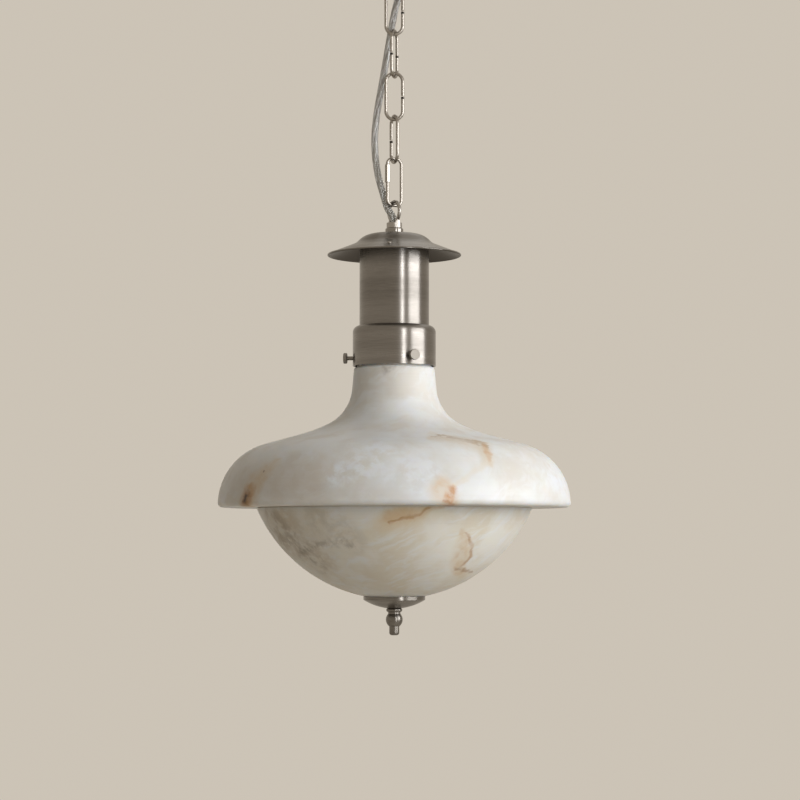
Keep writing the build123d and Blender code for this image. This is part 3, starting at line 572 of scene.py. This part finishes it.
# Each mark has its colour, its strength, how far crystal grain breaks it up, and points given as the place
# across that side of the light, the height and the half width, all in mm. Wide faint ones come before the
# lines in them.
shade_marks = {
    "front": (
        ("#ddd6cc", 0.42, 0.4, ((-50, -556, 30), (0, -560, 26), (44, -536, 26))),
        ("#fbfbfa", 0.8, 0.85, ((-54, -542, 23), (-14, -530, 33), (26, -548, 34))),
        # Wide beige patch on the front's left, away from the main light: partly the stone's own tone, partly
        # painted shade.
        ("#d6c9b8", 0.45, 0.2, ((-136, -545, 30), (-84, -552, 34))),
        ("#a9a196", 0.4, 1.0, ((-18, -434, 5), (-10, -437, 7), (-2, -435, 5))),
        ("#dcbd8c", 0.40, 0.3, ((-140, -570, 13), (-130, -548, 11), (-114, -530, 9))),
        ("#c08a34", 0.60, 0.3, ((-141, -569, 8.5), (-136, -555, 7.5))),
        ("#935b0c", 0.75, 0.3, ((-142, -568, 6.0), (-139, -559, 4.8))),
        ("#452703", 1.0, 0.2, ((-142, -567, 3.4), (-140.5, -562, 3.2))),
        ("#6d4a1e", 0.6, 0.2, ((-124, -539, 1.2), (-123, -538, 1.2))),
        ("#e2cdb0", 0.5, 0.2, ((34, -507, 6), (64, -512, 10), (86, -520, 10), (90, -530, 7))),
        ("#a8834f", 0.48, 0.4, ((34, -505, 1.3), (58, -508, 2.0), (78, -513, 2.2), (88, -516, 1.8))),
        ("#cf9a58", 0.5, 0.3, ((84, -516, 4.0), (89, -522, 4.4), (90, -528, 3.4))),
        ("#efe2cf", 0.45, 0.2, ((87, -530, 5), (76, -541, 4), (56, -553, 4))),
        ("#e5c49c", 0.62, 0.4, ((42, -556, 17), (50, -568, 18))),
        ("#d2934f", 0.6, 0.6, ((55, -558, 7), (51, -569, 10))),
        ("#b8742e", 0.55, 0.2, ((44, -571, 1.6), (56, -571, 2.2))),
    ),
    "back": (
        ("#fbfbfa", 0.7, 0.9, ((-80, -550, 30), (10, -540, 36))),
        ("#e2cdb0", 0.55, 0.3, ((-96, -517, 7), (-60, -530, 10), (-36, -554, 10))),
        ("#ae7f4a", 0.6, 0.4, ((-96, -516, 1.6), (-60, -528, 2.4), (-34, -552, 1.8), (-30, -572, 1.4))),
        ("#b98440", 0.6, 0.4, ((84, -560, 9), (92, -572, 7))),
    ),
    "left": (
        ("#cfc4b6", 0.4, 0.8, ((-40, -545, 26), (30, -552, 22))),
        ("#e2cdb0", 0.5, 0.3, ((60, -520, 6), (88, -542, 9), (92, -568, 6))),
        ("#b58a54", 0.55, 0.4, ((62, -520, 1.4), (88, -541, 2.0), (92, -566, 1.4))),
    ),
    "right": (
        ("#fbfbfa", 0.6, 0.9, ((-70, -545, 28), (0, -550, 32))),
        ("#e2cdb0", 0.5, 0.3, ((48, -530, 8), (42, -556, 9), (52, -572, 8))),
        ("#b58a54", 0.55, 0.4, ((20, -508, 1.2), (48, -530, 2.0), (40, -556, 1.6), (52, -572, 2.2))),
    ),
}
shade_stone = alabaster("alabaster_shade", "#e9e3da", "#f4f2ee", shade_marks)
dress(shade_stone, "upper_shade")

# Bowl
# Turned from the same stone as part of a ball, and held up under the shade by the finial. A felt ring lies
# between the two rims, and a nylon bush keeps the rod in the middle of the bowl's hole.
bowl_marks = {
    "front": (
        ("#cdbfa9", 0.4, 0.7, ((-112, -582, 20), (-96, -606, 26), (-64, -626, 18))),
        ("#cbc2b2", 0.35, 0.8, ((-74, -582, 24), (-36, -606, 18))),
        ("#94856f", 0.27, 1.0, ((-120, -580, 9), (-101, -604, 13), (-70, -630, 9))),
        ("#958b7a", 0.32, 1.0, ((-88, -612, 6), (-62, -606, 7), (-38, -610, 5))),
        ("#eee2cd", 0.5, 0.3, ((-20, -596, 14), (14, -586, 15), (52, -580, 8))),
        ("#dcb884", 0.6, 0.3, ((42, -574, 6), (18, -578, 11), (-4, -582, 10))),
        ("#e6cba2", 0.4, 0.3, ((20, -580, 14), (-10, -588, 14))),
        ("#ba8848", 0.55, 0.3, ((42, -573, 1.4), (20, -581, 2.4), (-4, -588, 1.8))),
        ("#dcc09a", 0.6, 0.4, ((68, -600, 6), (66, -612, 10), (62, -626, 12), (64, -636, 10))),
        ("#b98a58", 0.55, 0.4, ((70, -599, 1.5), (75, -610, 2.5), (73, -620, 2.4), (67, -630, 2.6))),
        ("#a57845", 0.55, 0.6, ((62, -632, 3.0), (70, -634, 4.0), (76, -636, 2.4))),
    ),
    "back": (
        ("#b9ac9a", 0.5, 0.8, ((60, -584, 26), (20, -610, 22))),
        ("#8d7e68", 0.55, 1.0, ((66, -590, 10), (34, -608, 10))),
        ("#dcc09a", 0.55, 0.4, ((-66, -584, 8), (-40, -600, 10), (-20, -622, 8))),
        ("#ba8848", 0.6, 0.4, ((-70, -580, 1.8), (-40, -596, 3.0), (-20, -622, 1.8))),
    ),
    "left": (
        ("#b9ac9a", 0.45, 0.8, ((-60, -590, 22), (-20, -612, 20))),
        ("#dcc09a", 0.5, 0.4, ((44, -582, 8), (52, -606, 9))),
        ("#ba8848", 0.55, 0.4, ((40, -578, 1.8), (56, -600, 2.6), (44, -620, 1.6))),
    ),
    "right": (
        ("#dcc09a", 0.55, 0.4, ((52, -582, 10), (34, -604, 10))),
        ("#ba8848", 0.55, 0.4, ((52, -585, 3.6), (30, -604, 2.6), (24, -622, 1.6))),
    ),
}
bowl_stone = alabaster("alabaster_bowl", "#ebe1cf", "#f5efe4", bowl_marks)
dress(bowl_stone, "bowl")
# Pressed wool felt: dull and fibrous, in a natural off-white.
wool_felt = plain_grain("pressed_wool_felt", "#d3cbbc", "#eee8dc", 0.5, (0.85, 1.0), 0.2)
dress(wool_felt, "rim_felt")
dress(white_nylon, "bowl_bush")

# Finial
# The cup is spun and the finial is turned from bar, both nickel plated. The finial screws on a threaded rod of
# six millimetres and pulls the cup up against the bowl, with a rubber ring between.
finial_nickel = satin_nickel("satin_nickel_turned", "#69645e", "#8a857e", 0.5)
dress(finial_nickel, "finial_cup", "finial")
thread_sides = 24
thread_steps = 6
rod_r, rod_pitch, rod_depth = 0.003, 0.001, 0.0006


def threaded(name, material, foot, way, length, radius, pitch, depth, nose=()):
    """Bar with a round-crested thread that runs out at both ends. A nose is added below its foot, as places
    along the bar and radii."""
    side = way.orthogonal().normalized()
    cross = way.cross(side)
    rows = [(along, [r] * thread_sides) for along, r in nose]
    count = round(length / pitch * thread_steps)
    for row in range(count + 1):
        along = length * row / count
        room = min(along, length - along, pitch) / pitch
        waves = [math.cos(2 * math.pi * (along / pitch - k / thread_sides)) for k in range(thread_sides)]
        rows.append((along, [radius - depth * (1 - room * (0.5 + 0.5 * wave)) for wave in waves]))
    verts, faces = [], []
    for along, radii in rows:
        for k, r in enumerate(radii):
            a = 2 * math.pi * k / thread_sides
            verts.append(foot + way * along + (side * math.cos(a) + cross * math.sin(a)) * r)
    for start in range(0, (len(rows) - 1) * thread_sides, thread_sides):
        for k in range(thread_sides):
            right = (k + 1) % thread_sides
            faces.append((start + k, start + right, start + thread_sides + right, start + thread_sides + k))
    faces.append(tuple(reversed(range(thread_sides))))
    faces.append(tuple(range(len(verts) - thread_sides, len(verts))))
    mesh = bpy.data.meshes.new(name)
    mesh.from_pydata(verts, [], faces)
    mesh.materials.append(material)
    for face in mesh.polygons:
        face.use_smooth = len(face.vertices) == 4
    return put(name, mesh)


rod_low, rod_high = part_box("finial_rod")
rod_foot = Vector((0, 0, rod_low.z))
rod_length = rod_high.z - rod_low.z
rod = threaded("threaded_rod", zinc_steel, rod_foot, Vector((0, 0, 1)), rod_length, rod_r, rod_pitch,
               rod_depth)
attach(rod, "pendant")
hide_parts("finial_rod")
# Moulded rubber: near black and dull.
black_rubber = plain_grain("moulded_rubber", "#171716", "#262524", 0.7, (0.6, 0.8), 0.05)
dress(black_rubber, "finial_ring")

# Lamps
# A turned brass hub on the stem carries three lampholders of black thermoset, tilted down and outward, each
# with a frosted bulb on a rolled aluminium screw cap. Two sleeved leads come down the stem.

# Turned brass: warm yellow with a soft sheen.
turned_brass = plain_grain("turned_brass", "#a9853c", "#cfae63", 1.8, (0.25, 0.4), 0.02, Metallic=1.0)
# Black thermoset: deep black with a half gloss.
black_thermoset = plain_grain("black_thermoset", "#141414", "#232322", 1.2, (0.3, 0.45), 0.03)
# Rolled aluminium: pale grey and bright.
rolled_aluminium = plain_grain("rolled_aluminium", "#b3b1ab", "#d6d4cf", 1.5, (0.25, 0.4), 0.03, Metallic=1.0)
# Frosted glass: milky white and dull, with some light going through it.
frosted_glass = plain_grain("frosted_glass", "#e6e6e2", "#f5f5f2", 0.6, (0.45, 0.6), 0.02,
                            Transmission_Weight=0.6, IOR=1.5)
# Brown sleeving: a plain plastic skin with a dull gloss.
brown_sleeving = plain_grain("brown_sleeving", "#4a2b17", "#60391f", 1.0, (0.45, 0.6), 0.03)
dress(turned_brass, "lamp_hub")
dress(brown_sleeving, "lamp_leads")
lamp_tilt = math.radians(45)
lamp_seat = Vector((0.013, 0.0, -0.015))
cap_foot = 0.019
cap_length, cap_r, cap_pitch, cap_depth = 0.024, 0.007, 0.00282, 0.0008
cap_nose = ((-0.002, 0.0018), (-0.0017, 0.0025), (0.0, 0.0025), (0.0, 0.0055))
for k, azimuth in (("1", 30), ("2", 150), ("3", 270)):
    dress(black_thermoset, f"lampholder_{k}")
    dress(frosted_glass, f"bulb_globe_{k}")
    out = Vector((math.cos(math.radians(azimuth)), math.sin(math.radians(azimuth)), 0))
    way = out * math.sin(lamp_tilt) - Vector((0, 0, math.cos(lamp_tilt)))
    seat = out * lamp_seat.x + Vector((0, 0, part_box("lamp_hub")[1].z + lamp_seat.z))
    cap = threaded(f"screw_cap_{k}", rolled_aluminium, seat + way * cap_foot, way, cap_length, cap_r,
                   cap_pitch, cap_depth, cap_nose)
    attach(cap, f"bulb_{k}")
    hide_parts(f"bulb_cap_{k}")

# Floor and light
# A pale floor a room's height below the ceiling, a plain pale world, a large soft light on the right, a
# narrow one beside the camera and a weak one high at the back. World and floor are shown paler than they light.
floor_radius = 8.0
floor_z = -2.4
floor_sides = 128
floor_glow = 0.42
world_light, world_shown = 0.3, 0.88
pale_tone = linear("#d8cfc1")
floor_turns = [2 * math.pi * k / floor_sides for k in range(floor_sides)]
floor_rim = [(floor_radius * math.cos(a), floor_radius * math.sin(a), floor_z) for a in floor_turns]
floor_mesh = bpy.data.meshes.new("floor")
floor_mesh.from_pydata(floor_rim, [], [tuple(range(floor_sides))])
floor = put("floor", floor_mesh)


def shown_rays(tree):
    """1 for rays that show a surface to the eye, straight, mirrored or through glass, and 0 for its light."""
    rays = node(tree, "ShaderNodeLightPath").outputs
    seen = {0: rays["Is Camera Ray"], 1: rays["Is Glossy Ray"]}
    direct = node(tree, "ShaderNodeMath", seen, operation="MAXIMUM")
    return node(tree, "ShaderNodeMath", {0: direct, 1: rays["Is Transmission Ray"]}, operation="MAXIMUM")


# Pale floor: an even, dull, warm off-white.
pale_floor = plain_grain("pale_floor", "#cfc9bf", "#d6d0c6", 400.0, (0.8, 0.9), 0.0,
                         Emission_Color=pale_tone)
tree = pale_floor.node_tree
glow = node(tree, "ShaderNodeMapRange", {"Value": shown_rays(tree), "To Min": 0.0, "To Max": floor_glow})
feed(tree, tree.nodes["Principled BSDF"].inputs["Emission Strength"], glow)
floor_mesh.materials.append(pale_floor)

aim = Vector((0, 0, -0.47))
light_distance = 2.4


def soft_light(name, azimuth, rise, width, height, power):
    """Rectangular light that faces the object, from an azimuth to the right of the camera."""
    made = bpy.data.lights.new(name, "AREA")
    made.shape = "RECTANGLE"
    made.size = width
    made.size_y = height
    made.energy = power
    made.color = linear("#f5f8fc")[:3]
    lamp = put(name, made)
    a = math.radians(azimuth)
    out = Vector((math.sin(a), -math.cos(a), math.tan(math.radians(rise)))).normalized()
    lamp.location = aim + out * light_distance
    lamp.rotation_euler = out.to_track_quat("Z", "Y").to_euler()
    lamp.visible_camera = False


soft_light("side_light", azimuth=70, rise=10, width=1.8, height=1.1, power=39)
soft_light("strip_light", azimuth=27, rise=4, width=0.3, height=1.9, power=18)
soft_light("high_light", azimuth=150, rise=62, width=2.4, height=2.4, power=9)
world = bpy.data.worlds.new("pale_world")
world.use_nodes = True
bpy.context.scene.world = world
tree = world.node_tree
background = tree.nodes["Background"].inputs
background["Color"].default_value = pale_tone
strength = {"Value": shown_rays(tree), "To Min": world_light, "To Max": world_shown}
feed(tree, background["Strength"], node(tree, "ShaderNodeMapRange", strength))

bpy.context.scene.view_settings.view_transform = "Standard"
